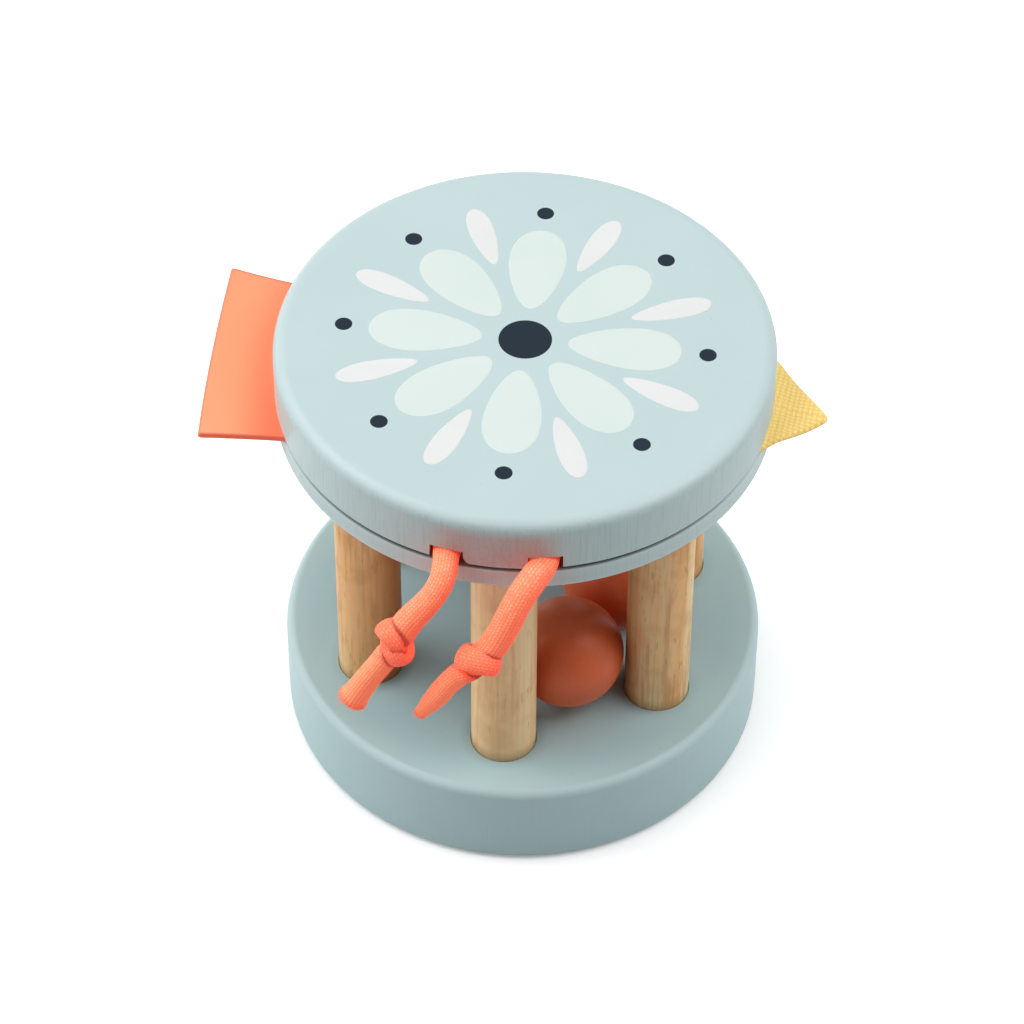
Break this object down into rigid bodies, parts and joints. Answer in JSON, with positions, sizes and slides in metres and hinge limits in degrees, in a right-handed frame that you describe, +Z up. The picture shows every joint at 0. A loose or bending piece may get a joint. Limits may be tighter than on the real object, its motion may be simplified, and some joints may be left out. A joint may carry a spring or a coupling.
{
  "type": "cage rattle",
  "caption": "Wooden cage rattle: a thick base and a two-layer top on round posts, loose balls in the cage, a knotted cord, a ribbon loop and a folded tape tab at the top's seam.",
  "frame": {"origin": "centre of the base's underside, on the surface that the rattle stands on", "axes": "+Z up through the centres of the base and the top, -Y towards the front where the cord ends hang, -X towards the ribbon loop, +X towards the folded tab"},
  "size_m": [0.0925, 0.0876, 0.0772],
  "materials": {
    "painted_wood": "matte paint, pale grey blue",
    "beech": "bare turned beech, oiled",
    "ball_paint": "satin paint, terracotta",
    "cord_braid": "braided cord, coral",
    "ribbon": "satin ribbon, orange",
    "tape": "woven tape, yellow"
  },
  "bodies": {
    "cage": {"base_disc": "painted_wood", "top_plate": "painted_wood", "top_cap": "painted_wood", "post_1": "beech", "post_2": "beech", "post_3": "beech", "post_4": "beech", "post_5": "beech", "post_6": "beech", "cord_bend": "cord_braid", "cord_left": "cord_braid", "cord_right": "cord_braid", "ribbon_tag": "ribbon", "folded_tab": "tape"},
    "ball_1": {"ball_1": "ball_paint"},
    "ball_2": {"ball_2": "ball_paint"}
  },
  "joints": [
    {"name": "ball_1_hop", "type": "slide", "parent": "cage", "child": "ball_1", "axis": [0, 0, 1], "range_m": [0, 0.0303]},
    {"name": "ball_2_roll", "type": "slide", "parent": "cage", "child": "ball_2", "axis": [-0.8634, 0.5046, 0], "range_m": [0, 0.027]}
  ]
}
